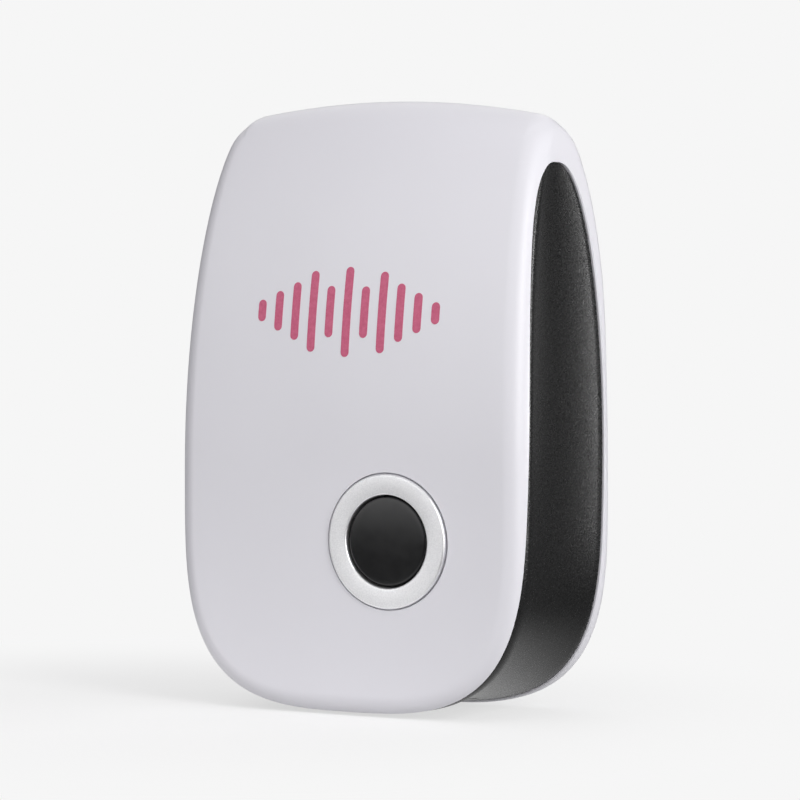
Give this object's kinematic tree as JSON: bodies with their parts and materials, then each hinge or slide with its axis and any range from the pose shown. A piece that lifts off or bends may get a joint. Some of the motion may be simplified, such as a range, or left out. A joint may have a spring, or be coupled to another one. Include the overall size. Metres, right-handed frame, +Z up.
{
  "type": "ultrasonic pest repeller",
  "caption": "Plug-in ultrasonic pest repeller: white arched shell wrapped over a black side band, round push button in a silver bezel, flat two-blade mains plug behind.",
  "frame": {"origin": "middle of the plug block's seating face, which rests on the wall socket, halfway between the two blades", "axes": "+Y out of the seating face towards the wall, so the front with the button faces -Y; +Z up; +X to the right of someone who faces the front"},
  "size_m": [0.063, 0.0499, 0.0959],
  "materials": {
    "shell_white": "injection-moulded white ABS with a soft satin gloss",
    "plug_white": "white nylon plug block, fine matt texture",
    "band_black": "charcoal-black ABS with a fine spark-eroded grain, satin",
    "bezel_silver": "satin silver with a fine bead-blast grain",
    "button_black": "polished black plastic",
    "blade_brass": "stamped brass, faint draw marks",
    "screw_steel": "zinc-plated steel",
    "label_paper": "blank silver-grey label, satin",
    "clear_plastic": "clear moulded acrylic and epoxy",
    "switch_black": "black moulded nylon",
    "switch_grey": "grey acetal",
    "board_green": "green solder mask on glass-fibre board",
    "cone_aluminium": "spun aluminium, satin",
    "piezo_brass": "plain brass disc",
    "gasket_foam": "closed-cell foam",
    "core_ferrite": "dark grey sintered ferrite",
    "winding_copper": "enamelled copper wire",
    "film_yellow": "yellow epoxy-filled box",
    "component_black": "black moulded epoxy and sleeving",
    "resistor_tan": "tan lacquered ceramic",
    "wire_black": "black PVC insulation",
    "wire_white": "white PVC insulation"
  },
  "bodies": {
    "case": {"wrap_shell": "shell_white", "back_plate": "shell_white", "plug_insert": "plug_white", "side_band": "band_black", "bezel_ring": "bezel_silver", "plug_blade_left": "blade_brass", "plug_blade_right": "blade_brass", "case_screw_1": "screw_steel", "case_screw_2": "screw_steel", "case_screw_3": "screw_steel", "case_screw_4": "screw_steel", "board_screw_1": "screw_steel", "board_screw_2": "screw_steel", "board_screw_3": "screw_steel", "board_screw_4": "screw_steel", "rating_label": "label_paper", "light_guide": "clear_plastic", "led_1": "clear_plastic", "led_2": "clear_plastic", "switch_body": "switch_black", "transducer_housing": "switch_black", "transformer_bobbin": "switch_black", "circuit_board": "board_green", "transducer_cone": "cone_aluminium", "piezo_disc": "piezo_brass", "foam_gasket": "gasket_foam", "transformer_core": "core_ferrite", "transformer_winding": "winding_copper", "film_capacitor": "film_yellow", "smoothing_capacitor": "component_black", "supply_capacitor": "component_black", "control_chip": "component_black", "rectifier_diode_1": "component_black", "rectifier_diode_2": "component_black", "rectifier_diode_3": "component_black", "rectifier_diode_4": "component_black", "fuse_resistor": "resistor_tan", "resistor_1": "resistor_tan", "resistor_2": "resistor_tan", "live_wire": "wire_black", "transducer_wire_1": "wire_black", "neutral_wire": "wire_white", "transducer_wire_2": "wire_white"},
    "button": {"button_cap": "button_black", "switch_plunger": "switch_grey"}
  },
  "joints": [
    {"name": "button_press", "type": "slide", "parent": "case", "child": "button", "axis": [0, 1, 0], "range_m": [0, 0.0012], "stiffness_N_per_m": 800}
  ]
}
